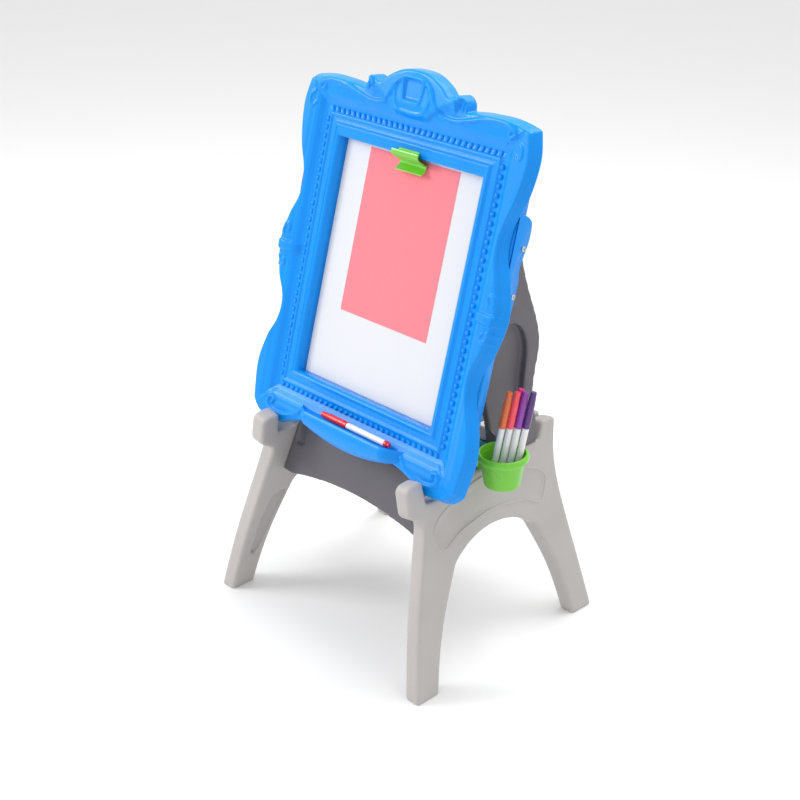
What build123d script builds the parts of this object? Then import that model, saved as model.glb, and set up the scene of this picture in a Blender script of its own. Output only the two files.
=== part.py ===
"""A child's easel shaped like an ornate picture frame on a splayed four-legged base.

Millimetres, +Z up. The easel stands on Z = 0, faces -Y, and X = 0 is its plane of symmetry.
Two splayed side panels carry a front apron, a rear panel and a storage tray. Two uprights
stand on the side panels and are screwed to the leaning picture frame, which holds the
drawing board. Cups, markers, paper and paint bottles lift off.
"""
import os
from math import cos, radians, sin, tan

from build123d import *

os.makedirs("parts", exist_ok=True)

# ---------------------------------------------------------------- driving dimensions
# base
foot_out = 270.0  # outer face of a side panel at the floor, from the middle
panel_thickness = 32.0
splay = 10.5  # degrees that a side panel leans inwards as it rises
foot_reach = 229.0  # half the depth over the feet
foot_length = 52.0
below_floor = 12.0  # stock that is cut off level with the floor
arch_height = 252.0  # top of the arch, measured along the panel
arch_spring = 100.0  # half width of the arch where it meets the legs
ledge_height = 363.0  # top edge of a panel between its horns, along the panel
horn_height = 393.0
knob_reach = 191.0

# leaning parts
lean = 15.6  # degrees that the frame leans back
frame_origin = (0, -114.3, 417.6)  # lower edge of the inner moulding, on its front face
rim_front = 14.0  # outer rim stands this far in front of the inner moulding
rim_back = -8.0  # back of the wavy rim
frame_back = -18.0  # back of the box that holds the board
flange_back = -26.0
box_half = 252.0
box_length = 568.0
opening_half = 172.0
opening_low = 28.0
opening_high = 457.0
board_face = -15.0
board_thickness = 3.0
backing_thickness = 3.0
board_half = 186.0
board_low = 14.0
board_high = 470.0

# uprights
upright_foot_x = 204.0  # outer face of an upright where it stands on its panel
upright_foot_z = 357.0
upright_lean = 5.6  # degrees that an upright leans outwards as it rises
upright_thickness = 28.0
tab_outer_x = 256.0  # outer face of the frame's rear tabs

# storage
tray_floor_z = 260.0
tray_wall = 4.0
tray_depth = 36.0
tray_front = -98.0
tray_back = 148.0
rear_panel_front = 152.0
rear_panel_thickness = 24.0

# cups and markers
cup_centre = (253.0, -16.0)
cup_floor_z = 344.0
cup_height = 60.0
cup_rim_radius = 45.0
cup_top_radius = 38.0
cup_foot_radius = 31.0
cup_wall = 2.5
hook_width = 18.0
marker_length = 172.0
marker_radius = 5.6
cap_radius = 6.3
cap_length = 66.0
marker_lean = 9.5
marker_pitch = 13.2

# screws
tray_screw_points = [(y, 283.0) for y in (-70.0, 40.0, 120.0)]
screw_head_radius = 4.5
screw_head_height = 2.6
screw_radius = 2.2
screw_length = 18.0

tan_splay = tan(radians(splay))
cos_splay = cos(radians(splay))
inner_face_x = foot_out - panel_thickness / cos_splay  # inner face at the floor


def inner_x(z):
    """X of a side panel's inner face at height z."""
    return inner_face_x - z * tan_splay


# ---------------------------------------------------------------- working planes
frame_plane = Plane(
    origin=frame_origin,
    x_dir=(1, 0, 0),
    z_dir=(0, -cos(radians(lean)), sin(radians(lean))),
)
panel_plane = Plane(
    origin=(foot_out, 0, 0),
    x_dir=(0, 1, 0),
    z_dir=(cos_splay, 0, sin(radians(splay))),
)
upright_plane = Plane(
    origin=(upright_foot_x, 0, upright_foot_z),
    x_dir=(0, 1, 0),
    z_dir=(cos(radians(upright_lean)), 0, -sin(radians(upright_lean))),
)


def save(part, name):
    """Label a finished piece and write it as its own STEP file."""
    part.label = name
    export_step(part, f"parts/{name}.step")


def save_pair(part, name):
    """Write a right-hand piece and its mirror image."""
    save(part, f"right_{name}")
    save(mirror(part, about=Plane.YZ), f"left_{name}")


# ---------------------------------------------------------------- side panels
def panel_outline():
    """Outline of a side panel in (depth, height along the panel)."""
    with BuildLine() as outline:
        front_leg = Spline(
            (-foot_reach - 3, -below_floor),
            (-200, 152),
            (-177, 238),
            (-160, 303),
            tangents=[(0.16, 1), (0.25, 1)],
        )
        neck = Line(front_leg @ 1, (-161, 312))
        knob_under = Line(neck @ 1, (-knob_reach, 330))
        knob_front = Line(knob_under @ 1, (-knob_reach, 384))
        knob_top = Line(knob_front @ 1, (-153, 386))
        seat_front = Line(knob_top @ 1, (-150, 344))
        seat = Line(seat_front @ 1, (-106, 344))
        seat_back = Line(seat @ 1, (-99, ledge_height))
        ledge = Line(seat_back @ 1, (134, ledge_height))
        horn_front = Line(ledge @ 1, (149, horn_height))
        horn_top = Line(horn_front @ 1, (184, horn_height))
        rear_leg = Spline(
            horn_top @ 1,
            (172, 326),
            (184, 216),
            (foot_reach + 3, -below_floor),
            tangents=[(-0.25, -1), (0.2, -1)],
        )
        rear_foot = Line(rear_leg @ 1, (foot_reach + 3 - foot_length, -below_floor))
        rear_inside = Spline(
            rear_foot @ 1, (148, 110), (arch_spring, 214), tangents=[(-0.2, 1), (-0.5, 1)]
        )
        arch = ThreePointArc(rear_inside @ 1, (0, arch_height), (-arch_spring, 214))
        front_inside = Spline(
            arch @ 1, (-148, 110), (-foot_reach - 3 + foot_length, -below_floor),
            tangents=[(-0.5, -1), (-0.2, -1)],
        )
        Line(front_inside @ 1, front_leg @ 0)
    return outline.line


def badge_outline():
    """The banner-shaped panel moulded into the outer face, following the arch."""
    with BuildLine() as outline:
        right_half = Polyline((0, 342), (78, 325), (118, 309), (137, 290), (121, 254))
        ThreePointArc(right_half @ 1, (62, 276), (0, 284))
        mirror(outline.line, about=Plane.YZ)
    return outline.line


with BuildPart() as right_side_panel:
    with BuildSketch(panel_plane) as panel_profile:
        add(panel_outline())
        make_face()
        knob_corners = panel_profile.vertices().filter_by_position(Axis.X, -195, -180)
        fillet(knob_corners.filter_by_position(Axis.Y, 325, 400), 15)
        fillet(panel_profile.vertices().filter_by_position(Axis.Y, 205, 225), 30)
        fillet(panel_profile.vertices().filter_by_position(Axis.Y, 380, 400), 7)
        fillet(panel_profile.vertices().filter_by_position(Axis.Y, 360, 366), 4)
    extrude(amount=-panel_thickness)
    broad_faces = right_side_panel.faces().sort_by(Axis((0, 0, 0), panel_plane.z_dir))
    fillet(ShapeList([*broad_faces[-1].edges(), *broad_faces[0].edges()]), 4)
    # shallow banner recess
    with BuildSketch(panel_plane) as badge_field:
        add(badge_outline())
        make_face()
        fillet(badge_field.vertices().filter_by_position(Axis.X, -145, -75), 8)
        fillet(badge_field.vertices().filter_by_position(Axis.X, 75, 145), 8)
    extrude(amount=-2, mode=Mode.SUBTRACT)
    # long pockets on the inner faces of both legs
    with BuildSketch(panel_plane.offset(-panel_thickness)) as pockets:
        with BuildLine():
            Polyline((-196, 58), (-172, 150), (-150, 196), (-112, 206), (-137, 158), (-172, 84), close=True)
        make_face()
        mirror(about=Plane.YZ)
        fillet(pockets.vertices(), 6)
    extrude(amount=9, mode=Mode.SUBTRACT)
    # blind holes for the tray's screws
    inner_plane = panel_plane.offset(-panel_thickness)
    with BuildSketch(inner_plane):
        for y, z in tray_screw_points:
            hole = inner_plane.to_local_coords(Vector(inner_x(z) - tray_wall, y, z))
            with Locations((hole.X, hole.Y)):
                Circle(screw_radius)
    extrude(amount=screw_length - tray_wall * cos_splay + 0.2, mode=Mode.SUBTRACT)
    split(bisect_by=Plane.XY, keep=Keep.TOP)

# ---------------------------------------------------------------- the space between the panels
with BuildPart() as between_panels:
    with BuildSketch(Plane.XZ.offset(-300)) as gap_profile:
        with BuildLine():
            Polyline(
                (-inner_x(150), 150), (inner_x(150), 150), (inner_x(420), 420), (-inner_x(420), 420), close=True
            )
        make_face()
    extrude(amount=600)

# ---------------------------------------------------------------- front apron
apron_face = -30.0  # front face, behind the frame's inner moulding
apron_thickness = 18.0
with BuildPart() as front_apron:
    with BuildSketch(frame_plane.offset(apron_face)) as apron_profile:
        with BuildLine() as apron_edge:
            low = ThreePointArc((-168, -172), (0, -152), (168, -172))
            right_step = Line(low @ 1, (205, -170))
            right_end = Line(right_step @ 1, (205, -66))
            top = Line(right_end @ 1, (-205, -66))
            left_end = Line(top @ 1, (-205, -170))
            Line(left_end @ 1, low @ 0)
        make_face()
    extrude(amount=-apron_thickness)
    add(between_panels.part, mode=Mode.INTERSECT)
    # shallow upright pockets near both ends
    with BuildSketch(frame_plane.offset(apron_face)):
        with Locations((-160, -90), (160, -90)):
            RectangleRounded(20, 44, 4)
    extrude(amount=-5, mode=Mode.SUBTRACT)
    long_edges = front_apron.faces().sort_by(Axis((0, 0, 0), frame_plane.z_dir))[-1].edges()
    fillet(long_edges.sort_by(Axis.Z)[:1], 3)

# ---------------------------------------------------------------- rear panel
with BuildPart() as rear_panel:
    with BuildSketch(Plane.XZ.offset(-rear_panel_front)) as rear_profile:
        with BuildLine() as rear_edge:
            rear_low = ThreePointArc((-150, 246), (0, 266), (150, 246))
            rear_right = Polyline(rear_low @ 1, (200, 246), (200, 386), (110, 386))
            dip = ThreePointArc(rear_right @ 1, (0, 378), (-110, 386))
            Polyline(dip @ 1, (-200, 386), (-200, 246), rear_low @ 0)
        make_face()
    extrude(amount=-rear_panel_thickness)
    add(between_panels.part, mode=Mode.INTERSECT)
    # stiffening recess on the back
    with BuildSketch(Plane.XZ.offset(-rear_panel_front - rear_panel_thickness)):
        with Locations((0, 322)):
            RectangleRounded(250, 62, 14)
    extrude(amount=4, mode=Mode.SUBTRACT)

# ---------------------------------------------------------------- storage tray
with BuildPart() as storage_tray:
    tray_top_z = tray_floor_z + tray_depth
    with BuildSketch(Plane.XZ.offset(-tray_front)) as tray_profile:
        with BuildLine():
            Polyline(
                (-inner_x(tray_floor_z), tray_floor_z),
                (inner_x(tray_floor_z), tray_floor_z),
                (inner_x(tray_top_z), tray_top_z),
                (-inner_x(tray_top_z), tray_top_z),
                close=True,
            )
        make_face()
    extrude(amount=tray_front - tray_back)
    hollow_low = tray_floor_z + tray_wall
    with BuildSketch(Plane.XZ.offset(-tray_front - tray_wall)) as tray_hollow:
        with BuildLine():
            Polyline(
                (-inner_x(hollow_low) + tray_wall, hollow_low),
                (inner_x(hollow_low) - tray_wall, hollow_low),
                (inner_x(tray_top_z + 1) - tray_wall, tray_top_z + 1),
                (-inner_x(tray_top_z + 1) + tray_wall, tray_top_z + 1),
                close=True,
            )
        make_face()
    extrude(amount=tray_front - tray_back + 2 * tray_wall, mode=Mode.SUBTRACT)

# ---------------------------------------------------------------- screws through the tray's ends
def screw(plane):
    """A pan-head screw whose head sits on the plane and whose shank points along its normal."""
    with BuildPart() as one_screw:
        with BuildSketch(plane):
            Circle(screw_head_radius)
        extrude(amount=-screw_head_height)
        fillet(one_screw.edges().sort_by(Axis(plane.origin, plane.z_dir))[0], 1.2)
        with BuildSketch(plane.offset(-screw_head_height)):
            Rectangle(5.2, 1.1)
            Rectangle(1.1, 5.2)
        extrude(amount=1.2, mode=Mode.SUBTRACT)
        with BuildSketch(plane):
            Circle(screw_radius)
        extrude(amount=screw_length)
        fillet(one_screw.edges().sort_by(Axis(plane.origin, plane.z_dir))[-1], 1.0)
    return one_screw.part


def tray_screw_plane(y, z):
    """Where a screw's head sits on the inside of the tray's right end wall."""
    return Plane(
        origin=(inner_x(z) - tray_wall, y, z),
        x_dir=(0, 1, 0),
        z_dir=(cos_splay, 0, sin(radians(splay))),
    )


right_tray_screws = [screw(tray_screw_plane(y, z)) for y, z in tray_screw_points]
left_tray_screws = [mirror(item, about=Plane.YZ) for item in right_tray_screws]

with BuildPart() as bored_tray:
    add(storage_tray.part)
    for item in right_tray_screws + left_tray_screws:
        add(item, mode=Mode.SUBTRACT)

# ---------------------------------------------------------------- uprights
with BuildPart() as right_upright:
    with BuildSketch(upright_plane) as upright_profile:
        with BuildLine() as upright_edge:
            back_edge = Spline(
                (24, 400),
                (70, 288),
                (102, 200),
                (99, 134),
                (111, 70),
                (127, 24),
                (131, 0),
                tangents=[(0.3, -1), (0.1, -1)],
            )
            foot = Line(back_edge @ 1, (24, 0))
            front_edge = Spline(
                foot @ 1, (1, 92), (-20, 160), (-22, 200), (-12, 234), tangents=[(-0.1, 1), (0.45, 1)]
            )
            against_frame = Line(front_edge @ 1, (-40, 244))
            Line(against_frame @ 1, (24, 470))
            Line((24, 470), back_edge @ 0)
        make_face()
    extrude(amount=-upright_thickness)
    # keep the upright behind the back of the frame
    split(bisect_by=frame_plane.offset(frame_back), keep=Keep.BOTTOM)
    # sunken web in front of the rear rib
    with BuildSketch(upright_plane) as web:
        with BuildLine():
            rib = Spline((0, 262), (46, 250), (70, 200), (72, 146), (82, 78), (98, 24))
            Polyline(rib @ 1, (40, 14), (10, 60), (-40, 130), (-40, 262), rib @ 0)
        make_face()
    extrude(amount=-14, mode=Mode.SUBTRACT)

# ---------------------------------------------------------------- picture frame
def frame_half_outline():
    """Right half of the frame's wavy outline, from the crest round to the marker ledge."""
    with BuildLine() as outline:
        crest = Spline((0, 600), (38, 595), (64, 583), (84, 569), tangents=[(1, 0), (0.8, -1)])
        volute = Spline(crest @ 1, (100, 575), (115, 567), (121, 552), tangents=[(1, 0.2), (0, -1)])
        top = Spline(volute @ 1, (165, 557), (205, 559), (262, 550), tangents=[(1, 0.3), (1, -0.3)])
        side = Spline(
            top @ 1,
            (273, 505),
            (267, 448),
            (250, 392),
            (250, 348),
            (268, 300),
            (279, 250),
            (268, 192),
            (250, 146),
            (250, 104),
            (267, 62),
            (277, 10),
            (267, -56),
            tangents=[(0.5, -1), (-0.5, -1)],
        )
        bottom = Spline(side @ 1, (220, -67), (165, -63), (121, -55), tangents=[(-1, -0.3), (-1, 0.2)])
        Spline(bottom @ 1, (60, -66), (0, -73), tangents=[(-1, -0.1), (-1, 0)])
    return outline.line


with BuildPart() as picture_frame:
    with BuildSketch(frame_plane.offset(rim_back)) as frame_profile:
        with BuildLine() as frame_outline:
            half_outline = add(frame_half_outline())
            mirror(half_outline, about=Plane.YZ)
        make_face()
    extrude(amount=rim_front - rim_back)
    # box behind the rim, with a flange round its back
    with BuildSketch(frame_plane.offset(flange_back)):
        with Locations((0, 246)):
            RectangleRounded(2 * box_half, box_length, 20)
    extrude(amount=rim_back - flange_back)
    with BuildSketch(frame_plane.offset(flange_back)):
        with Locations((0, 246)):
            RectangleRounded(2 * box_half - 16, box_length - 16, 12)
    extrude(amount=frame_back - flange_back, mode=Mode.SUBTRACT)
    # field that slopes from the outer rim down to the inner moulding
    field_low = 3.0
    field_high = 492.0
    with BuildSketch(frame_plane):
        with Locations((0, (field_low + field_high) / 2)):
            Rectangle(2 * 198, field_high - field_low)
    with BuildSketch(frame_plane.offset(rim_front + 1)):
        with Locations((0, (field_low + field_high) / 2)):
            Rectangle(2 * 234, field_high - field_low + 2 * 36)
    loft(mode=Mode.SUBTRACT)
    # inner moulding and the sight opening
    with BuildSketch(frame_plane.offset(-1)):
        with Locations((0, (opening_low + opening_high) / 2)):
            Rectangle(2 * opening_half + 22, opening_high - opening_low + 22)
    extrude(amount=6)
    with BuildSketch(frame_plane.offset(board_face - 8)):
        with Locations((0, (opening_low + opening_high) / 2 + 3)):
            Rectangle(2 * opening_half - 20, opening_high - opening_low - 6)
    with BuildSketch(frame_plane.offset(5.01)):
        with Locations((0, (opening_low + opening_high) / 2)):
            Rectangle(2 * opening_half, opening_high - opening_low)
    loft(mode=Mode.SUBTRACT)
    # rear rebate for the board and its backing
    with BuildSketch(frame_plane.offset(frame_back)):
        with Locations((0, (board_low + board_high) / 2)):
            Rectangle(2 * board_half, board_high - board_low)
    extrude(amount=board_face - frame_back, mode=Mode.SUBTRACT)
    # tabs that reach back past the uprights
    for side in (-1, 1):
        with BuildSketch(frame_plane.offset(rim_back)):
            with Locations((side * (tab_outer_x - 15), 310)):
                RectangleRounded(30, 208, 6)
        extrude(amount=-33)

# screws through the tabs into the uprights, on both sides
side_screw_points = [(-30.0, 283.0), (-30.0, 362.0)]


def side_screw_plane(offset, along):
    """Where a screw's head sits on the outer face of the right tab."""
    point = frame_plane.from_local_coords((0, along, offset))
    return Plane(origin=(tab_outer_x, point.Y, point.Z), x_dir=(0, 1, 0), z_dir=(-1, 0, 0))


right_side_screws = [screw(side_screw_plane(offset, along)) for offset, along in side_screw_points]
left_side_screws = [mirror(item, about=Plane.YZ) for item in right_side_screws]
side_screws = right_side_screws + left_side_screws
left_upright = mirror(right_upright.part, about=Plane.YZ)

with BuildPart() as finished_frame:
    add(picture_frame.part)
    for item in [right_upright.part, left_upright, *side_screws]:
        add(item, mode=Mode.SUBTRACT)

with BuildPart() as bored_upright:
    add(right_upright.part)
    for item in right_side_screws:
        add(item, mode=Mode.SUBTRACT)

# ---------------------------------------------------------------- board, backing and its screws
panel_middle = (board_low + board_high) / 2
panel_gap = 0.5  # play of the board and its backing in the rebate
with BuildPart() as drawing_board:
    with BuildSketch(frame_plane.offset(board_face)):
        with Locations((0, panel_middle)):
            Rectangle(2 * (board_half - panel_gap), board_high - board_low - 2 * panel_gap)
    extrude(amount=-board_thickness)

backing_half = 198.0
backing_spots = [(side * (backing_half - 6), along) for side in (-1, 1) for along in (20.0, 242.0, 464.0)]
backing_spots += [(0.0, board_low - 6), (0.0, board_high + 6)]
backing_screws = []
for spot in backing_spots:
    seat_point = frame_plane.from_local_coords((*spot, frame_back - backing_thickness))
    backing_screws.append(screw(Plane(origin=seat_point, x_dir=(1, 0, 0), z_dir=frame_plane.z_dir)))

with BuildPart() as board_backing:
    with BuildSketch(frame_plane.offset(frame_back)):
        with Locations((0, panel_middle)):
            RectangleRounded(2 * backing_half, board_high - board_low + 24, 8)
    extrude(amount=-backing_thickness)
    # shallow ribs pressed into the sheet
    with BuildSketch(frame_plane.offset(frame_back - backing_thickness)):
        with Locations((0, panel_middle)):
            with GridLocations(0, 90, 1, 5):
                RectangleRounded(280, 8, 3.9)
    extrude(amount=1.2, mode=Mode.SUBTRACT)
    for item in backing_screws:
        add(item, mode=Mode.SUBTRACT)

with BuildPart() as bored_frame:
    add(finished_frame.part)
    for item in backing_screws:
        add(item, mode=Mode.SUBTRACT)

# ---------------------------------------------------------------- ledge for a marker
ledge_half = 104.0
# (out of the frame, along it): a trough between the frame's face and a raised front lip
ledge_points = [(0, -62), (24, -60), (38, -46), (38, -24), (31, -21), (29, -25.8), (0, -25.8)]

with BuildPart() as marker_ledge:
    with BuildSketch(Plane.YZ.offset(-ledge_half)):
        with BuildLine():
            Polyline(
                [tuple(frame_plane.from_local_coords((0, along, out)))[1:] for out, along in ledge_points],
                close=True,
            )
        make_face()
    extrude(amount=2 * ledge_half)
    add(bored_frame.part, mode=Mode.SUBTRACT)

# ---------------------------------------------------------------- paper clip
clip_middle = 4.0
clip_width = 62.0
clip_thickness = 2.2
pin_along = 460.5
pin_offset = 10.2
pin_radius = 1.5
pin_play = 0.2
pin_length = 42.0
lug_width = 5.0
lug_spacing = 14.0
ear_width = 4.0
ear_spacing = 20.0
spring_wire_radius = 0.45
spring_radius = 2.2
spring_pitch = 1.3
spring_length = 7.8


def clip_section(x):
    """A plane square to the clip's pin: local X runs up the board, local Y towards the front."""
    return Plane(
        origin=frame_plane.from_local_coords((x, 0, 0)),
        x_dir=frame_plane.y_dir,
        z_dir=frame_plane.x_dir,
    )


# the jaw bulges over the pin, nips in to the paper and turns out to a finger lip
with BuildPart() as clip_jaw:
    with BuildSketch(clip_section(clip_middle)):
        with BuildLine():
            bulge = Spline((463, 15.2), (455.5, 13.8), (449, 1), (445.5, -10.0), tangents=[(-1, 0.4), (-0.2, -1)])
            nip = RadiusArc(bulge @ 1, (441.5, -11.2), -3)
            Spline(nip @ 1, (436, -7), (430, -1), tangents=[(-1, 0.3), (-0.6, 1)])
        trace(line_width=clip_thickness)
    extrude(amount=clip_width / 2, both=True)
    for lug_x in (-lug_spacing, lug_spacing):
        with BuildSketch(clip_section(clip_middle + lug_x)):
            with Locations((pin_along, pin_offset)):
                Circle(3.0)
                with Locations((0, 2.2)):
                    Rectangle(3.6, 4.0)
        extrude(amount=lug_width / 2, both=True)
    with BuildSketch(clip_section(clip_middle)):
        with Locations((pin_along, pin_offset)):
            Circle(pin_radius + pin_play)
    extrude(amount=clip_width, both=True, mode=Mode.SUBTRACT)

with BuildPart() as clip_pin:
    with BuildSketch(clip_section(clip_middle)):
        with Locations((pin_along, pin_offset)):
            Circle(pin_radius)
    extrude(amount=pin_length / 2, both=True)

# a plate on the face of the moulding, with two ears that hold the pin
with BuildPart() as clip_base:
    with BuildSketch(clip_section(clip_middle)):
        with Locations((462.5, 5.75)):
            Rectangle(8, 1.5)
    extrude(amount=24, both=True)
    for ear_x in (-ear_spacing, ear_spacing):
        with BuildSketch(clip_section(clip_middle + ear_x)):
            with Locations((pin_along, pin_offset)):
                Circle(3.2)
                with Locations((0.8, -2.2)):
                    Rectangle(5.6, 4.4)
        extrude(amount=ear_width / 2, both=True)
    add(clip_pin.part, mode=Mode.SUBTRACT)

with BuildPart() as clip_spring:
    spring_start = frame_plane.from_local_coords((clip_middle - spring_length / 2, pin_along, pin_offset))
    with BuildLine() as coil:
        Helix(spring_pitch, spring_length, spring_radius, spring_start, direction=(1, 0, 0))
    with BuildSketch(Plane(origin=coil.line @ 0, z_dir=coil.line % 0)):
        Circle(spring_wire_radius)
    sweep()

# ---------------------------------------------------------------- cups
with BuildPart() as right_cup:
    with BuildSketch(Plane.XZ) as cup_section:
        with BuildLine():
            foot_corner = Line((0, 0), (cup_foot_radius, 0))
            body = Line(foot_corner @ 1, (cup_top_radius, cup_height - 14))
            under_rim = Line(body @ 1, (cup_rim_radius - 3, cup_height - 13))
            rolled_rim = ThreePointArc(
                under_rim @ 1, (cup_rim_radius, cup_height - 6), (cup_rim_radius - 4, cup_height)
            )
            Polyline(
                rolled_rim @ 1,
                (cup_rim_radius - 6, cup_height),
                (cup_top_radius - cup_wall, cup_height - 14),
                (cup_foot_radius - cup_wall, cup_wall),
                (0, cup_wall),
                (0, 0),
            )
        make_face()
    revolve(axis=Axis.Z)
    fillet(right_cup.edges().filter_by(GeomType.CIRCLE).sort_by(Axis.Z)[0], 3)
cup_solid = right_cup.part.moved(Location((*cup_centre, cup_floor_z)))

with BuildPart() as hooked_cup:
    add(cup_solid)
    # a tongue behind the rim hooks over the top edge of the side panel
    with BuildSketch(Plane.XZ.offset(-cup_centre[1] - hook_width / 2)) as hook_section:
        with BuildLine():
            Polyline(
                (224, 394), (222, 362), (206.9, 358.2), (168.6, 358.2), (168.6, 344),
                (165.4, 344), (165.4, 361.4), (204, 361.4), (212, 394), close=True,
            )
        make_face()
    extrude(amount=hook_width)
    with BuildPart(mode=Mode.PRIVATE) as cup_space:
        with BuildSketch(Plane.XY.offset(cup_floor_z + cup_wall)):
            with Locations(cup_centre):
                Circle(cup_foot_radius - cup_wall)
        with BuildSketch(Plane.XY.offset(cup_floor_z + cup_height)):
            with Locations(cup_centre):
                Circle(cup_top_radius - cup_wall + 1.5)
        loft()
    add(cup_space.part, mode=Mode.SUBTRACT)

# ---------------------------------------------------------------- markers
def marker_parts(tip, direction):
    """Barrel and cap of one marker that stands on its tip point and points along direction."""
    along = Plane(origin=tip, z_dir=direction)
    with BuildPart() as barrel:
        with BuildSketch(Plane.XZ):
            with BuildLine():
                Polyline(
                    (0, 0), (3.6, 0), (3.6, 4), (marker_radius, 6), (marker_radius, 105),
                    (4.4, 106), (4.4, 128), (2.6, 140), (1.2, 147), (0, 148), (0, 0),
                )
            make_face()
        revolve(axis=Axis.Z)
    with BuildPart() as cap:
        with BuildSketch(Plane.XZ):
            with BuildLine():
                Polyline(
                    (4.6, 106.2), (cap_radius, 106.2), (cap_radius, 150), (cap_radius - 1.2, 171),
                    (cap_radius - 2, marker_length), (0, marker_length), (0, 160), (4.6, 150), (4.6, 106.2),
                )
            make_face()
        revolve(axis=Axis.Z)
    return barrel.part.moved(along.location), cap.part.moved(along.location)


lean_sideways = Vector(cos(radians(46)), sin(radians(46)), 0)  # way that the markers in the cup lean
towards_back = Vector(-sin(radians(46)), cos(radians(46)), 0)
marker_axis = lean_sideways * sin(radians(marker_lean)) + Vector(0, 0, cos(radians(marker_lean)))
cup_marker_base_z = cup_floor_z + cup_wall + 1.6
front_row = [("orange", -1.5), ("coral", -0.5), ("violet", 0.5), ("plum", 1.5)]
back_row = [("magenta", 0.0)]
marker_spots = {name: (step * marker_pitch - 1, -5.0) for name, step in front_row}
marker_spots |= {name: (step * marker_pitch - 1, 7.5) for name, step in back_row}
markers = {}
for name, (sideways, depth) in marker_spots.items():
    tip = Vector(*cup_centre, cup_marker_base_z) + lean_sideways * sideways + towards_back * depth
    markers[name] = marker_parts(tip, marker_axis)

tray_marker_along = -18.6  # axis of the marker on the ledge
tray_marker_offset = 19.5
red_tip = frame_plane.from_local_coords((105, tray_marker_along, tray_marker_offset))
markers["red"] = marker_parts(red_tip, (-1, 0, 0))

# ---------------------------------------------------------------- paper
with BuildPart() as paper_sheet:
    with BuildSketch(frame_plane.offset(board_face + 0.1)):
        with Locations((1, 307)):
            Rectangle(214, 290)
    extrude(amount=0.3)

# ---------------------------------------------------------------- paint bottles
bottle_radius = 24.0
bottle_wall = 2.5
bottle_neck_radius = 11.0
bottle_cap_radius = 14.0
bottle_floor_z = tray_floor_z + tray_wall
# name: place on the tray and height of the shoulder
bottle_sizes = {"teal": ((146.0, 60.0), 86.0), "navy": ((68.0, 118.0), 118.0)}


def bottle_parts(shoulder_z):
    """A squat bottle and its screw cap, standing on the origin."""
    neck_z = shoulder_z + 17
    top_z = neck_z + 17
    with BuildPart() as bottle:
        with BuildSketch(Plane.XZ):
            with BuildLine():
                base = Polyline(
                    (0, 0), (bottle_radius - 2, 0), (bottle_radius, 3), (bottle_radius, shoulder_z)
                )
                shoulder = Spline(
                    base @ 1, (bottle_neck_radius + 2, neck_z - 2), (bottle_neck_radius, neck_z),
                    tangents=[(0, 1), (0, 1)],
                )
                Polyline(
                    shoulder @ 1,
                    (bottle_neck_radius, top_z),
                    (bottle_neck_radius - 3, top_z),
                    (bottle_neck_radius - 3, neck_z - 3),
                    (bottle_radius - bottle_wall - 0.5, shoulder_z - 3),
                    (bottle_radius - bottle_wall, 3),
                    (0, 3),
                    (0, 0),
                )
            make_face()
        revolve(axis=Axis.Z)
    with BuildPart() as cap:
        with BuildSketch(Plane.XZ):
            with BuildLine():
                Polyline(
                    (bottle_neck_radius + 0.2, neck_z + 1),
                    (bottle_cap_radius, neck_z + 1),
                    (bottle_cap_radius - 0.6, top_z + 7),
                    (bottle_cap_radius - 2, top_z + 9),
                    (0, top_z + 9),
                    (0, top_z + 0.2),
                    (bottle_neck_radius + 0.2, top_z + 0.2),
                    close=True,
                )
            make_face()
        revolve(axis=Axis.Z)
    return bottle.part, cap.part


# ---------------------------------------------------------------- output
save_pair(right_side_panel.part, "side_panel")
save(front_apron.part, "front_apron")
save(rear_panel.part, "rear_panel")
save(bored_tray.part, "storage_tray")
save_pair(bored_upright.part, "upright")
save(bored_frame.part, "picture_frame")
save(marker_ledge.part, "marker_ledge")
save(drawing_board.part, "drawing_board")
save(board_backing.part, "board_backing")
save(Compound(children=backing_screws), "backing_screws")
save(Compound(children=side_screws), "frame_screws")
save(Compound(children=right_tray_screws + left_tray_screws), "tray_screws")
save(clip_base.part, "clip_base")
save(clip_jaw.part, "clip_jaw")
save(clip_pin.part, "clip_pin")
save(clip_spring.part, "clip_spring")
save_pair(hooked_cup.part, "cup")
for name, (barrel, cap) in markers.items():
    save(barrel, f"{name}_marker")
    save(cap, f"{name}_marker_cap")
save(paper_sheet.part, "paper_sheet")
for name, (spot, shoulder_height) in bottle_sizes.items():
    bottle, bottle_cap = bottle_parts(shoulder_height)
    standing = Location((*spot, bottle_floor_z))
    save(bottle.moved(standing), f"{name}_paint_bottle")
    save(bottle_cap.moved(standing), f"{name}_bottle_cap")
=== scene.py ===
"""Looks of a child's easel: an ornate blue picture frame with a drawing board on a splayed grey base."""
from math import cos, pi, radians, sin

import bmesh
import bpy
import numpy as np
from mathutils import Matrix, Vector


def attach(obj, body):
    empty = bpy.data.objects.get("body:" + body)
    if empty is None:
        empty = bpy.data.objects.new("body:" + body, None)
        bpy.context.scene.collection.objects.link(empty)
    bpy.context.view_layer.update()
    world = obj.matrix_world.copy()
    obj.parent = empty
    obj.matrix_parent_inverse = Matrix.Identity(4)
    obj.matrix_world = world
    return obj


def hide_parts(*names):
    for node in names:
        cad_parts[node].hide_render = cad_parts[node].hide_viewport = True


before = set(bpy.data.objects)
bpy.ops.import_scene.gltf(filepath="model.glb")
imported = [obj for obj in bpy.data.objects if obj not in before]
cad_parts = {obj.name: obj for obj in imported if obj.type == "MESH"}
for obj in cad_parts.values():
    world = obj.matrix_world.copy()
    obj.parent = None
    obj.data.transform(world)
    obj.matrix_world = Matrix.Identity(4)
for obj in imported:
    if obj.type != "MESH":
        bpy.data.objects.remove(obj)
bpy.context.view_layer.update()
scene = bpy.context.scene

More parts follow.
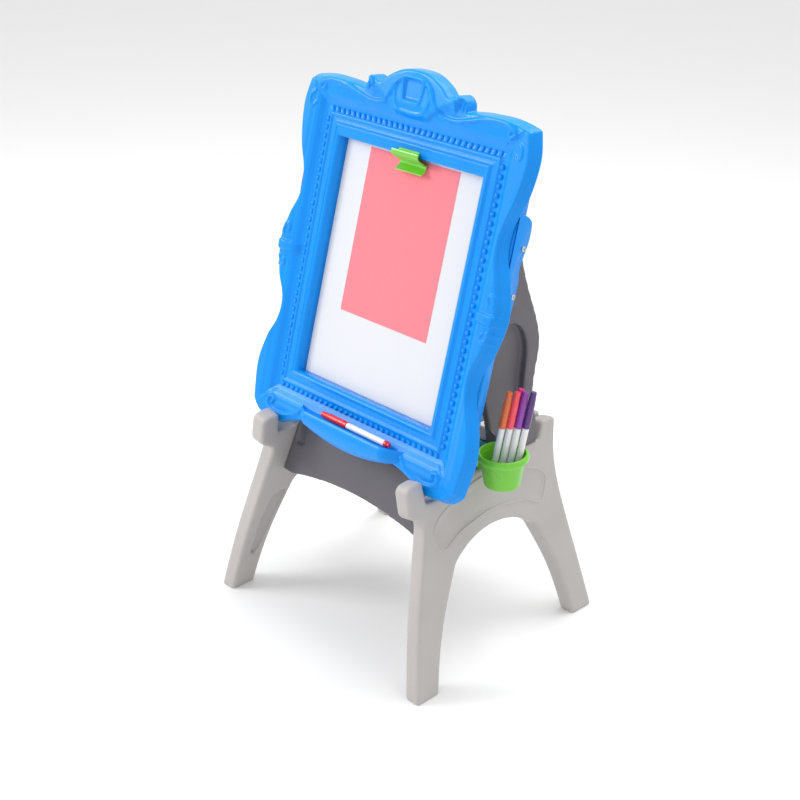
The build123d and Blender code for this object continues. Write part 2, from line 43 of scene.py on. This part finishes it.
# ---------------------------------------------------------------- sizes shared with the solid model
LEAN = radians(15.6)  # the board leans back
SPLAY = radians(10.5)  # the side panels lean inwards
BOARD_ORIGIN = np.array([0.0, -0.1143, 0.4176])
UP_BOARD = np.array([0.0, sin(LEAN), cos(LEAN)])
OUT_OF_BOARD = np.array([0.0, -cos(LEAN), sin(LEAN)])
BOARD_FACE = -15.0  # millimetres behind the plane of the inner moulding
RIM_FRONT = 14.0
RIM_BACK = -8.0
FRAME_BACK = -18.0
FLANGE_BACK = -26.0
ROLL = 6.0  # radius of the frame's rolled outer edge

# nested rectangles of the frame's mouldings, from the sight edge outwards: half width, low, high
SIGHT = (172.0, 28.0, 457.0)
RIDGE = (180.0, 24.5, 475.0)
STEP = (198.0, 4.0, 490.5)
FIELD = (234.0, -32.0, 527.0)


def board_point(x, along, out):
    """World metres of a point given in millimetres across, up and out of the board."""
    x, along, out = (np.asarray(value, float)[..., None] for value in (x, along, out))
    across = np.array([1.0, 0.0, 0.0])
    return BOARD_ORIGIN + 0.001 * (x * across + along * UP_BOARD + out * OUT_OF_BOARD)


# ---------------------------------------------------------------- mesh helpers
def add_piece(name, points, faces, material):
    """A smooth-shaded mesh that rides on the easel."""
    mesh = bpy.data.meshes.new(name)
    mesh.from_pydata([tuple(point) for point in points], [], faces)
    mesh.update()
    mesh.shade_smooth()
    piece = bpy.data.objects.new(name, mesh)
    scene.collection.objects.link(piece)
    mesh.materials.append(material)
    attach(piece, "easel")
    return piece


def grid_faces(rows, columns, closed_rows=False, closed_columns=False):
    """Quads of a grid of points stored row by row."""
    faces = []
    for row in range(rows if closed_rows else rows - 1):
        below = row * columns
        above = (row + 1) % rows * columns
        for column in range(columns if closed_columns else columns - 1):
            beside = (column + 1) % columns
            faces.append((below + column, below + beside, above + beside, above + column))
    return faces


def smooth_curve(points):
    """A dense Catmull-Rom curve through the points."""
    points = np.array(points, float)
    padded = np.vstack([2 * points[0] - points[1], points, 2 * points[-1] - points[-2]])
    t = np.linspace(0, 1, 24, endpoint=False)[:, None]
    spans = []
    for a, b, c, d in zip(padded, padded[1:], padded[2:], padded[3:]):
        square = 2 * a - 5 * b + 4 * c - d
        cube = 3 * b - a - 3 * c + d
        spans.append(0.5 * (2 * b + (c - a) * t + square * t**2 + cube * t**3))
    return np.vstack([*spans, points[-1:]])


def resample(curve, count):
    """Evenly spaced points along a curve, leaving out its end."""
    steps = np.linalg.norm(np.diff(curve, axis=0), axis=1)
    travelled = np.concatenate([[0], np.cumsum(steps)])
    wanted = np.linspace(0, travelled[-1], count, endpoint=False)
    return np.stack([np.interp(wanted, travelled, curve[:, axis]) for axis in (0, 1)], axis=1)


def smoothstep(value):
    """An eased ramp from 0 to 1."""
    value = np.clip(value, 0, 1)
    return value * value * (3 - 2 * value)


# ---------------------------------------------------------------- materials
def material_with_nodes(name):
    """A new material with its node tree, its shader and its object coordinates."""
    material = bpy.data.materials.new(name)
    material.use_nodes = True
    nodes = material.node_tree.nodes
    coordinates = nodes.new("ShaderNodeTexCoord")
    return material, nodes, material.node_tree.links, nodes["Principled BSDF"], coordinates.outputs["Object"]


def noise(nodes, links, position, scale, detail=4.0, stretch=(1, 1, 1)):
    """A noise texture's value output, optionally stretched along the axes."""
    mapping = nodes.new("ShaderNodeMapping")
    mapping.inputs["Scale"].default_value = stretch
    links.new(position, mapping.inputs["Vector"])
    texture = nodes.new("ShaderNodeTexNoise")
    texture.inputs["Scale"].default_value = scale
    texture.inputs["Detail"].default_value = detail
    links.new(mapping.outputs["Vector"], texture.inputs["Vector"])
    return texture.outputs["Fac"]


def remap(nodes, links, value, low, high, to_low, to_high):
    """A value rescaled from one range to another."""
    node = nodes.new("ShaderNodeMapRange")
    node.inputs["From Min"].default_value = low
    node.inputs["From Max"].default_value = high
    node.inputs["To Min"].default_value = to_low
    node.inputs["To Max"].default_value = to_high
    links.new(value, node.inputs["Value"])
    return node.outputs["Result"]


def mix_colours(nodes, links, factor, first, second):
    """Two colours blended by a factor. Each is an output or a colour."""
    node = nodes.new("ShaderNodeMix")
    node.data_type = "RGBA"
    links.new(factor, node.inputs["Factor"])
    for name, colour in (("A", first), ("B", second)):
        socket = [item for item in node.inputs if item.name == name and item.type == "RGBA"][0]
        if isinstance(colour, bpy.types.NodeSocket):
            links.new(colour, socket)
        else:
            socket.default_value = (*colour, 1)
    return [item for item in node.outputs if item.type == "RGBA"][0]


def bump(nodes, links, shader, height, strength, distance):
    """Feeds a height into the shader's normal."""
    node = nodes.new("ShaderNodeBump")
    node.inputs["Strength"].default_value = strength
    node.inputs["Distance"].default_value = distance
    links.new(height, node.inputs["Height"])
    links.new(node.outputs["Normal"], shader.inputs["Normal"])


def scaled(colour, factor):
    """A colour made darker or paler, kept within white."""
    return tuple(min(1.0, channel * factor) for channel in colour)


def moulded_plastic(
    name, colour, roughness, grain_strength, grain_scale=700, coat=0.0, worn=1.25, gloss=0.5
):
    """Injection or blow moulded plastic: slight mottling, fine skin grain and paler rubbed edges."""
    material, nodes, links, shader, position = material_with_nodes(name)
    mottle = remap(nodes, links, noise(nodes, links, position, 9), 0.3, 0.7, 0, 1)
    body_colour = mix_colours(nodes, links, mottle, scaled(colour, 0.95), scaled(colour, 1.04))
    geometry = nodes.new("ShaderNodeNewGeometry")
    edge = remap(nodes, links, geometry.outputs["Pointiness"], 0.52, 0.60, 0, 0.6)
    body_colour = mix_colours(nodes, links, edge, body_colour, scaled(colour, worn))
    links.new(body_colour, shader.inputs["Base Color"])
    smears = noise(nodes, links, position, 24, 6)
    patchy = remap(nodes, links, smears, 0.3, 0.7, roughness - 0.05, roughness + 0.07)
    links.new(patchy, shader.inputs["Roughness"])
    shader.inputs["Specular IOR Level"].default_value = gloss
    shader.inputs["Coat Weight"].default_value = coat
    shader.inputs["Coat Roughness"].default_value = 0.12
    grain = noise(nodes, links, position, grain_scale, 3)
    bump(nodes, links, shader, grain, grain_strength, 0.0006)
    return material


def metal(name, colour, roughness, stretch):
    """Steel with fine drawn scratches."""
    material, nodes, links, shader, position = material_with_nodes(name)
    scratches = noise(nodes, links, position, 900, 5, stretch)
    drawn = mix_colours(nodes, links, scratches, scaled(colour, 0.8), scaled(colour, 1.15))
    links.new(drawn, shader.inputs["Base Color"])
    shader.inputs["Metallic"].default_value = 1.0
    brushed = remap(nodes, links, scratches, 0.3, 0.7, roughness - 0.1, roughness + 0.1)
    links.new(brushed, shader.inputs["Roughness"])
    bump(nodes, links, shader, scratches, 0.15, 0.0003)
    return material


def paper(name, colour):
    """Sugar paper: short fibres, a soft mottle and a matt face."""
    material, nodes, links, shader, position = material_with_nodes(name)
    fibres = noise(nodes, links, position, 420, 8, (1, 2.4, 2.4))
    tint = remap(nodes, links, fibres, 0.35, 0.65, 0, 1)
    mottled = mix_colours(nodes, links, tint, scaled(colour, 0.95), scaled(colour, 1.05))
    links.new(mottled, shader.inputs["Base Color"])
    shader.inputs["Roughness"].default_value = 0.85
    shader.inputs["Specular IOR Level"].default_value = 0.25
    bump(nodes, links, shader, fibres, 0.25, 0.0004)
    return material


def dry_erase(name, colour):
    """Glossy white board with the faint haze that wiping leaves."""
    material, nodes, links, shader, position = material_with_nodes(name)
    haze = remap(nodes, links, noise(nodes, links, position, 7, 6, (1, 1, 0.4)), 0.4, 0.75, 0, 1)
    links.new(mix_colours(nodes, links, haze, colour, scaled(colour, 0.96)), shader.inputs["Base Color"])
    links.new(remap(nodes, links, haze, 0, 1, 0.16, 0.34), shader.inputs["Roughness"])
    shader.inputs["Coat Weight"].default_value = 0.4
    bump(nodes, links, shader, noise(nodes, links, position, 30, 2), 0.05, 0.0006)
    return material


def hardboard(name, colour):
    """Pressed fibreboard with dark and pale flecks."""
    material, nodes, links, shader, position = material_with_nodes(name)
    flecks = remap(nodes, links, noise(nodes, links, position, 260, 8, (1, 3, 3)), 0.3, 0.7, 0, 1)
    flecked = mix_colours(nodes, links, flecks, scaled(colour, 0.75), scaled(colour, 1.3))
    links.new(flecked, shader.inputs["Base Color"])
    shader.inputs["Roughness"].default_value = 0.75
    bump(nodes, links, shader, flecks, 0.4, 0.0005)
    return material


def barrel_with_plug(name, colour, plug_colour, plug_x):
    """A marker barrel that lies along X, with a coloured plug beyond plug_x."""
    material = moulded_plastic(name, colour, 0.28, 0.05, coat=0.3, worn=1.05)
    nodes, links = material.node_tree.nodes, material.node_tree.links
    shader = nodes["Principled BSDF"]
    plain = shader.inputs["Base Color"].links[0].from_socket
    coordinates = nodes.new("ShaderNodeTexCoord")
    split = nodes.new("ShaderNodeSeparateXYZ")
    links.new(coordinates.outputs["Object"], split.inputs["Vector"])
    beyond = remap(nodes, links, split.outputs["X"], plug_x - 0.0002, plug_x + 0.0002, 0, 1)
    links.new(mix_colours(nodes, links, beyond, plain, plug_colour), shader.inputs["Base Color"])
    return material


def plain_studio(name, colour, roughness):
    """The floor: a pale seamless sheet with a hardly visible mottle."""
    material, nodes, links, shader, position = material_with_nodes(name)
    mottle = noise(nodes, links, position, 3)
    links.new(mix_colours(nodes, links, mottle, scaled(colour, 0.985), colour), shader.inputs["Base Color"])
    shader.inputs["Roughness"].default_value = roughness
    shader.inputs["Specular IOR Level"].default_value = 0.2
    return material


BLUE = moulded_plastic("glossy_blue_plastic", (0.0, 0.27, 0.84), 0.30, 0.10, coat=0.12, worn=1.3, gloss=0.22)
LIGHT_GREY = moulded_plastic("light_grey_plastic", (0.45, 0.425, 0.41), 0.46, 0.30, 520, worn=1.12)
DARK_GREY = moulded_plastic("dark_grey_plastic", (0.110, 0.104, 0.118), 0.46, 0.30, 520, worn=1.5)
LIME = moulded_plastic("lime_plastic", (0.16, 0.56, 0.03), 0.30, 0.10, coat=0.25, worn=1.5)
MARKER_WHITE = moulded_plastic("marker_barrel_plastic", (0.82, 0.82, 0.80), 0.28, 0.05, coat=0.3, worn=1.05)
TEAL = moulded_plastic("teal_bottle_plastic", (0.01, 0.30, 0.36), 0.24, 0.06, coat=0.3)
BOTTLE_WHITE = moulded_plastic("white_bottle_plastic", (0.78, 0.80, 0.82), 0.26, 0.06, coat=0.3, worn=1.05)
NAVY = moulded_plastic("navy_cap_plastic", (0.02, 0.04, 0.18), 0.32, 0.08)
CAP_WHITE = moulded_plastic("white_cap_plastic", (0.80, 0.80, 0.80), 0.34, 0.08, worn=1.05)
SCREW_STEEL = metal("zinc_plated_steel", (0.62, 0.62, 0.60), 0.30, (1, 1, 1))
SPRING_STEEL = metal("spring_steel", (0.45, 0.45, 0.46), 0.28, (1, 1, 6))
PINK_PAPER = paper("pink_sugar_paper", (0.95, 0.23, 0.27))
BOARD_WHITE = dry_erase("dry_erase_board", (0.72, 0.73, 0.77))
BACKING = hardboard("fibreboard", (0.30, 0.20, 0.12))
CAP_COLOURS = {
    "orange": (0.66, 0.13, 0.03),
    "coral": (0.85, 0.07, 0.10),
    "violet": (0.24, 0.035, 0.33),
    "plum": (0.085, 0.02, 0.17),
    "magenta": (0.72, 0.03, 0.27),
    "red": (0.75, 0.01, 0.015),
}
CAP_MATERIALS = {
    name: moulded_plastic(f"{name}_cap_plastic", colour, 0.26, 0.05, coat=0.3)
    for name, colour in CAP_COLOURS.items()
}

RED_BARREL = barrel_with_plug("red_marker_barrel", (0.82, 0.82, 0.80), CAP_COLOURS["red"], 0.0935)

NODE_MATERIALS = {
    "drawing_board": BOARD_WHITE,
    "board_backing": BACKING,
    "paper_sheet": PINK_PAPER,
    "clip_base": LIME,
    "clip_jaw": LIME,
    "clip_pin": SCREW_STEEL,
    "clip_spring": SPRING_STEEL,
    "backing_screws": SCREW_STEEL,
    "frame_screws": SCREW_STEEL,
    "tray_screws": SCREW_STEEL,
    "left_cup": LIME,
    "right_cup": LIME,
    "left_side_panel": LIGHT_GREY,
    "right_side_panel": LIGHT_GREY,
    "rear_panel": LIGHT_GREY,
    "left_upright": DARK_GREY,
    "right_upright": DARK_GREY,
    "front_apron": DARK_GREY,
    "storage_tray": DARK_GREY,
    "picture_frame": BLUE,
    "marker_ledge": BLUE,
    "teal_paint_bottle": TEAL,
    "teal_bottle_cap": CAP_WHITE,
    "navy_paint_bottle": BOTTLE_WHITE,
    "navy_bottle_cap": NAVY,
}
for name, material in CAP_MATERIALS.items():
    NODE_MATERIALS[f"{name}_marker"] = RED_BARREL if name == "red" else MARKER_WHITE
    NODE_MATERIALS[f"{name}_marker_cap"] = material
for node, material in NODE_MATERIALS.items():
    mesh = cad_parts[node].data
    mesh.materials.clear()
    mesh.materials.append(material)

# ---------------------------------------------------------------- ornate picture frame
CREST = [(0, 600), (20, 599), (38, 595), (53, 588.5), (66, 581), (77, 572), (85, 569.5)]
VOLUTE = [(85, 569.5), (92, 574), (101, 576.5), (111, 573.5), (119, 565), (121, 553)]
TOP_EDGE = [(121, 553), (140, 556), (165, 558), (205, 559), (235, 556), (263, 550)]
SIDE_EDGE = [
    (263, 550), (273, 505), (267, 448), (250, 392), (250, 348), (268, 300), (279, 250),
    (268, 192), (250, 146), (250, 104), (267, 62), (277, 10), (267, -57),
]
BOTTOM_EDGE = [(267, -57), (248, -73), (222, -79.5), (195, -79), (162, -67), (121, -56), (60, -56), (0, -57)]

# raised scrollwork on the right half: centre line, half width, height
SCROLLS = [
    ([(0, 586), (24, 582), (42, 569), (52, 550), (70, 534), (98, 531), (128, 537), (163, 546), (198, 548),
      (222, 542), (228, 534), (221, 529), (216, 534)], 5.5, 4.0),
    ([(0, 524), (24, 527), (36, 539), (41, 556), (38, 568)], 5.0, 2.0),
    ([(0, 583), (20, 582), (24, 576), (20, 549), (15, 543), (0, 543)], 3.2, 2.6),
    ([(110, 552), (109, 563), (101, 566), (95, 561), (99, 555)], 4.0, 3.0),
    ([(240, 523), (248, 514), (248, 502), (241, 497), (236, 502)], 3.5, 2.0),
    ([(256, 264), (256, 276), (249, 282), (242, 277), (245, 270)], 3.5, 2.2),
    ([(256, 222), (256, 212), (249, 206), (242, 211), (245, 218)], 3.5, 2.2),
    ([(128, -31), (142, -44), (165, -54), (192, -57), (211, -53), (219, -42), (214, -32), (204, -34),
      (206, -42)], 5.0, 4.2),
]


def ring(half_width, low, high, counts):
    """Points round a rectangle, clockwise from its top left corner."""
    corners = [(-half_width, high), (half_width, high), (half_width, low), (-half_width, low)]
    sides = [np.array([corners[k], corners[(k + 1) % 4]], float) for k in range(4)]
    return np.vstack([resample(side, count) for side, count in zip(sides, counts)])


def outline_ring(counts):
    """Points round the frame's wavy outline, clockwise from its top left corner, with eased corners."""
    top_half = np.vstack([smooth_curve(CREST), smooth_curve(VOLUTE), smooth_curve(TOP_EDGE)])
    side = smooth_curve(SIDE_EDGE)
    bottom_half = smooth_curve(BOTTOM_EDGE)
    flip = np.array([-1, 1])
    sides = [
        np.vstack([top_half[::-1] * flip, top_half]),
        side,
        np.vstack([bottom_half, bottom_half[::-1] * flip]),
        side[::-1] * flip,
    ]
    points = np.vstack([resample(one, count) for one, count in zip(sides, counts)])
    for _ in range(6):
        points = (np.roll(points, 1, axis=0) + 2 * points + np.roll(points, -1, axis=0)) / 4
    return points


def moulding_level(x, along):
    """0 at the sight edge, 1 on the ridge, 2 at the step, 3 where the field ends: mitred at the corners."""
    steps = np.arange(4)
    sides = np.interp(np.abs(x), [rectangle[0] for rectangle in (SIGHT, RIDGE, STEP, FIELD)], steps)
    above = np.interp(along, [rectangle[2] for rectangle in (SIGHT, RIDGE, STEP, FIELD)], steps)
    below = np.interp(-along, [-rectangle[1] for rectangle in (SIGHT, RIDGE, STEP, FIELD)], steps)
    return np.maximum(np.maximum(sides, above), below)


def ridge_height(x, along, line, half_width, height):
    """Height of a rounded ridge that follows a line on the right half, mirrored on the left."""
    points = smooth_curve(line)
    nearest = np.full(x.shape, np.inf)
    for point in points[::2]:
        nearest = np.minimum(nearest, (np.abs(x) - point[0]) ** 2 + (along - point[1]) ** 2)
    return height * np.clip(1 - nearest / half_width**2, 0, 1) ** 1.5


def front_height(x, along):
    """How far the frame's front stands out, in millimetres."""
    level = moulding_level(x, along)
    profile_level = [0, 0.35, 0.85, 1.0, 1.15, 1.35, 1.8, 1.95, 2.05, 2.15, 2.35, 2.55, 2.8, 3.0]
    profile_height = [2.6, 4.4, 4.9, 6.4, 4.9, 2.6, 2.2, 4.6, 4.6, 1.8, 1.2, 3.6, 9.4, 11.6]
    height = np.interp(level, profile_level, profile_height)
    outside = np.maximum(np.maximum(np.abs(x) - FIELD[0], along - FIELD[2]), FIELD[1] - along)
    height = height + (RIM_FRONT - 11.6) * smoothstep(outside / 14)
    crest_foot = np.interp(np.abs(x), [0, 38, 52, 70, 84, 96, 130], [519, 521, 531, 542, 548, 545, 600])
    height = height + 7 * smoothstep((along - crest_foot + 4) / 12) * smoothstep((128 - np.abs(x)) / 14)
    strap = smoothstep((10 - np.abs(along - 243)) / 3) * smoothstep((np.abs(x) - 214) / 8)
    height = height + 4 * strap
    cartouche = smoothstep((21 - np.abs(x)) / 4) * smoothstep((18 - np.abs(along - 563.5)) / 4)
    height = height - 2.5 * cartouche
    for line, half_width, ridge in SCROLLS:
        height = height + ridge_height(x, along, line, half_width, ridge)
    mitre_x = np.where(along > 250, 198 + (along - 508) * 1.25, 202 + (-13 - along) * 1.1)
    corner = smoothstep((np.abs(along - 247) - 262) / 4)
    mitre = np.clip(1 - ((np.abs(x) - mitre_x) / 2.0) ** 2, 0, 1) * corner * smoothstep((np.abs(x) - 204) / 6)
    return height + 1.2 * mitre


def ornate_frame():
    """The whole moulded frame: front relief, rolled edge, side wall, back and sight opening."""
    counts = (330, 380, 330, 380)
    outline = outline_ring(counts)
    sight = ring(*SIGHT, counts)
    inwards = sight - outline
    inwards = inwards / np.linalg.norm(inwards, axis=1)[:, None]
    draft = 3 + 11 * inwards[:, :1] ** 2
    front_edge = outline + inwards * draft
    shoulder = front_edge + inwards * ROLL
    rows = [(ring(165, 31, 457, counts), np.full(len(outline), BOARD_FACE))]
    rows.append((ring(170.4, 29, 457, counts), np.full(len(outline), 0.6)))
    for step in np.linspace(0, 1, 72):
        place = sight + (shoulder - sight) * step
        rows.append((place, front_height(place[:, 0], place[:, 1])))
    rim = rows[-1][1]
    for angle in np.linspace(0.15, 1, 7) * pi / 2:
        rows.append((shoulder + (front_edge - shoulder) * sin(angle), rim - ROLL * (1 - cos(angle))))
    wall_top = rim - ROLL
    for step in (0.15, 0.3, 0.5, 0.7, 0.9, 1.0):
        wall = front_edge + (outline - front_edge) * step**0.8
        rows.append((wall, wall_top + (RIM_BACK + 2 - wall_top) * step))
    flat = np.ones(len(outline))
    rows.append((outline + inwards * 0.6, (RIM_BACK + 0.6) * flat))
    rows.append((outline + inwards * 2, RIM_BACK * flat))
    back_box = ring(252, -38, 530, counts)
    rows.append((back_box + (outline - back_box) * 0.1, RIM_BACK * flat))
    rows.append((back_box, (RIM_BACK - 1.5) * flat))
    rows.append((back_box, (FLANGE_BACK + 1.5) * flat))
    rows.append((ring(250.5, -36.5, 528.5, counts), FLANGE_BACK * flat))
    rows.append((ring(245.5, -31.5, 523.5, counts), FLANGE_BACK * flat))
    flange_inside = ring(244, -30, 522, counts)
    rows.append((flange_inside, (FLANGE_BACK + 1.5) * flat))
    rows.append((flange_inside, (FRAME_BACK - 1) * flat))
    rows.append((ring(242, -28, 520, counts), FRAME_BACK * flat))
    board_rebate = ring(186, 14, 470, counts)
    rows.append((board_rebate, FRAME_BACK * flat))
    rows.append((board_rebate, BOARD_FACE * flat))
    points = np.vstack([board_point(place[:, 0], place[:, 1], out) for place, out in rows])
    faces = grid_faces(len(rows), len(outline), closed_rows=True, closed_columns=True)
    piece = add_piece("ornate_frame", points, faces, BLUE)
    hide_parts("picture_frame")


def beads():
    """The row of beads outside the stepped moulding: round up the sides, slanted along top and bottom."""
    rings, spokes = 7, 14
    side_row, top_row, bottom_row = 206.5, 499.5, -5.0
    seat = 1.4  # the beads' middles, out of the frame
    points = []
    faces = []

    def bead(x, along, across, up, proud, slant):
        start = len(points)
        for tier in range(rings):
            polar = pi / 2 * tier / (rings - 1) * 1.15
            for spoke in range(spokes):
                turn = 2 * pi * spoke / spokes
                u = across * sin(polar) * cos(turn)
                v = up * sin(polar) * sin(turn)
                tilted = (u * cos(slant) - v * sin(slant), u * sin(slant) + v * cos(slant))
                points.append(board_point(x + tilted[0], along + tilted[1], seat + proud * cos(polar)))
        for face in grid_faces(rings, spokes, closed_columns=True):
            faces.append(tuple(start + index for index in face))

    for side in (-1, 1):
        for along in np.linspace(14, 480, 32):
            bead(side * side_row, along, 4.4, 4.8, 4.2, 0)
        for x in np.linspace(0, 198, 16)[1:]:
            bead(side * x, top_row, 3.4, 5.6, 4.0, -side * 0.45)
            bead(side * x, bottom_row, 3.4, 5.0, 4.0, side * 0.45)
    bead(0, top_row, 3.6, 5.6, 4.0, 0)
    bead(0, bottom_row, 3.6, 5.0, 4.0, 0)
    piece = add_piece("frame_beads", points, faces, BLUE)


def marker_ledge():
    """The bowed ledge along the bottom of the frame, with a rounded lip that holds a marker."""
    section = resample(smooth_curve([
        (2, -66), (14, -68), (26, -63), (34, -53), (37.5, -41), (37.5, -30), (35.5, -23.5), (32.5, -22.5),
        (29.5, -24.4), (24, -26.0), (12, -26.2), (2, -26.2),
    ]), 64)
    trough = -29.0  # the section above this keeps its height to the ledge's ends
    half_length = 136
    stations = np.linspace(-1, 1, 121)
    points = []
    for station in stations:
        bow = 1 - station**2
        fullness = smoothstep((1 - abs(station)) / 0.30) ** 0.7
        out = 4 + (section[:, 0] - 4) * (0.04 + 0.96 * fullness)
        drop = np.minimum(section[:, 1] - trough, 0) * (0.34 + 0.62 * bow)
        along = np.maximum(section[:, 1], trough) + drop
        points.append(board_point(half_length * station, along, out))
    piece = add_piece("ornate_ledge", np.vstack(points), grid_faces(len(stations), len(section)), BLUE)
    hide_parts("marker_ledge")


def side_tab(side):
    """The plate behind the rim that is screwed to an upright, with rounded ends."""
    profile = smooth_curve([
        (-6, 418), (-26, 414), (-38, 407), (-41.5, 394), (-41, 372), (-34.5, 340), (-33.5, 322), (-37, 306),
        (-36, 262), (-31, 226), (-26, 214), (-16, 208), (-6, 206),
    ])
    profile = resample(profile, 90)
    middle = np.array([-8.0, 312.0])
    outer_face = 256.0
    # distance from the middle of the easel, and size of the profile there
    layers = [(226, 0.97), (227, 1.0), (253.6, 1.0), (255.2, 0.992), (outer_face, 0.975)]
    points = []
    for x, size in layers:
        around = middle + (profile - middle) * size
        points.append(board_point(side * x, around[:, 1], around[:, 0]))
    points.append(board_point(np.array([side * outer_face]), middle[1:], middle[:1]))
    points = np.vstack(points)
    faces = grid_faces(len(layers), len(profile))
    last = (len(layers) - 1) * len(profile)
    faces += [(last + k, last + k + 1, len(points) - 1) for k in range(len(profile) - 1)]
    piece = add_piece("right_frame_tab" if side > 0 else "left_frame_tab", points, faces, BLUE)


ornate_frame()
beads()
marker_ledge()
side_tab(1)
side_tab(-1)


# ---------------------------------------------------------------- softened blow-moulded parts
def moulded_copy(node, material, rounds=10):
    """A copy of a CAD node with the soft edges of blow moulding, which stands for the node."""
    shape = bmesh.new()
    shape.from_mesh(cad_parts[node].data)
    bmesh.ops.remove_doubles(shape, verts=shape.verts, dist=1e-5)
    rough = bpy.data.meshes.new(f"{node}_rough")
    shape.to_mesh(rough)
    shape.free()
    maker = bpy.data.objects.new(f"{node}_maker", rough)
    scene.collection.objects.link(maker)
    remesh = maker.modifiers.new("remesh", "REMESH")
    remesh.mode = "VOXEL"
    remesh.voxel_size = 0.0022
    soften = maker.modifiers.new("soften", "SMOOTH")
    soften.factor = 0.5
    soften.iterations = rounds
    bpy.context.view_layer.update()
    mesh = bpy.data.meshes.new_from_object(maker.evaluated_get(bpy.context.evaluated_depsgraph_get()))
    bpy.data.objects.remove(maker)
    mesh.name = f"{node}_moulded"
    mesh.materials.clear()
    mesh.materials.append(material)
    mesh.shade_smooth()
    piece = bpy.data.objects.new(f"{node}_moulded", mesh)
    scene.collection.objects.link(piece)
    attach(piece, "easel")
    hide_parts(node)
    return piece


for node in ("left_side_panel", "right_side_panel"):
    moulded_copy(node, LIGHT_GREY, rounds=16)
moulded_copy("rear_panel", LIGHT_GREY)
for node in ("left_upright", "right_upright", "front_apron"):
    moulded_copy(node, DARK_GREY)


# ---------------------------------------------------------------- raised line round each panel's badge
# rear half of the line, in (depth, height along the panel)
BANNER = [
    (0, 346), (40, 342), (82, 328), (122, 312), (141, 292),
    (136, 272), (122, 249), (92, 263), (62, 272), (0, 280),
]
PANEL_FOOT_X = 270.0  # the outer face at the floor
BORDER_RADIUS = 2.3
BORDER_SUNK = 0.9  # the line's middle, below the panel's face


def banner_border(side):
    """A thin rounded line moulded round the shallow badge, half sunk into the panel."""
    half = np.array(BANNER, float)
    loop = np.vstack([half, half[-2:0:-1] * [-1, 1], half[:1]])
    line = resample(smooth_curve(loop), 360)
    for _ in range(10):
        line = (np.roll(line, 1, axis=0) + 2 * line + np.roll(line, -1, axis=0)) / 4
    along_line = np.roll(line, -1, axis=0) - np.roll(line, 1, axis=0)
    sideways = np.column_stack([-along_line[:, 1], along_line[:, 0]])
    sideways = sideways / np.linalg.norm(along_line, axis=1)[:, None]
    spokes = 12
    points = []
    for spoke in range(spokes):
        turn = 2 * pi * spoke / spokes
        place = line + sideways * BORDER_RADIUS * 1.3 * cos(turn)
        proud = BORDER_RADIUS * sin(turn) - BORDER_SUNK
        x = PANEL_FOOT_X - place[:, 1] * sin(SPLAY) + proud * cos(SPLAY)
        z = place[:, 1] * cos(SPLAY) + proud * sin(SPLAY)
        points.append(np.column_stack([side * x, place[:, 0], z]) * 0.001)
    faces = grid_faces(spokes, len(line), closed_rows=True, closed_columns=True)
    name = "right_banner_border" if side > 0 else "left_banner_border"
    add_piece(name, np.vstack(points), faces, LIGHT_GREY)


banner_border(1)
banner_border(-1)


# ---------------------------------------------------------------- studio
def studio():
    """A plain pale floor under a white sky, with a key light and a top light."""
    floor_mesh = bpy.data.meshes.new("studio_floor")
    reach = 12.0
    floor_mesh.from_pydata(
        [(-reach, -reach, 0), (reach, -reach, 0), (reach, reach, 0), (-reach, reach, 0)], [], [(0, 1, 2, 3)]
    )
    floor_mesh.materials.append(plain_studio("studio_floor", (0.90, 0.90, 0.90), 0.6))
    floor = bpy.data.objects.new("studio_floor", floor_mesh)
    scene.collection.objects.link(floor)

    world = bpy.data.worlds.new("studio_world")
    world.use_nodes = True
    world.node_tree.nodes["Background"].inputs["Color"].default_value = (1.0, 1.0, 1.0, 1)
    world.node_tree.nodes["Background"].inputs["Strength"].default_value = 0.88
    scene.world = world
    scene.view_settings.view_transform = "Standard"

    target = Vector((0, 0, 0.5))
    softboxes = [
        ("key_light", (-2.2, -2.0, 2.2), 1.4, 54),
        ("top_light", (0.2, 1.0, 3.0), 2.0, 48),
    ]
    for name, place, size, power in softboxes:
        light = bpy.data.lights.new(name, "AREA")
        light.size = size
        light.energy = power
        lamp = bpy.data.objects.new(name, light)
        lamp.location = place
        lamp.rotation_euler = (target - lamp.location).to_track_quat("-Z", "Y").to_euler()
        scene.collection.objects.link(lamp)


def camera():
    """The camera, turned to the easel's right and looking down."""
    azimuth, elevation = radians(46.1), radians(25.5)
    right = Vector((cos(azimuth), sin(azimuth), 0))
    back = Vector((sin(azimuth) * cos(elevation), -cos(azimuth) * cos(elevation), sin(elevation)))
    up = back.cross(right)
    lens = bpy.data.cameras.new("camera")
    lens.sensor_width = 36
    lens.lens = 66.7
    eye = bpy.data.objects.new("camera", lens)
    eye.matrix_world = Matrix.Translation(back * 2.835 - right * 0.009 + up * 0.369) @ Matrix(
        (right, up, back)
    ).transposed().to_4x4()
    scene.collection.objects.link(eye)
    scene.camera = eye


studio()
camera()
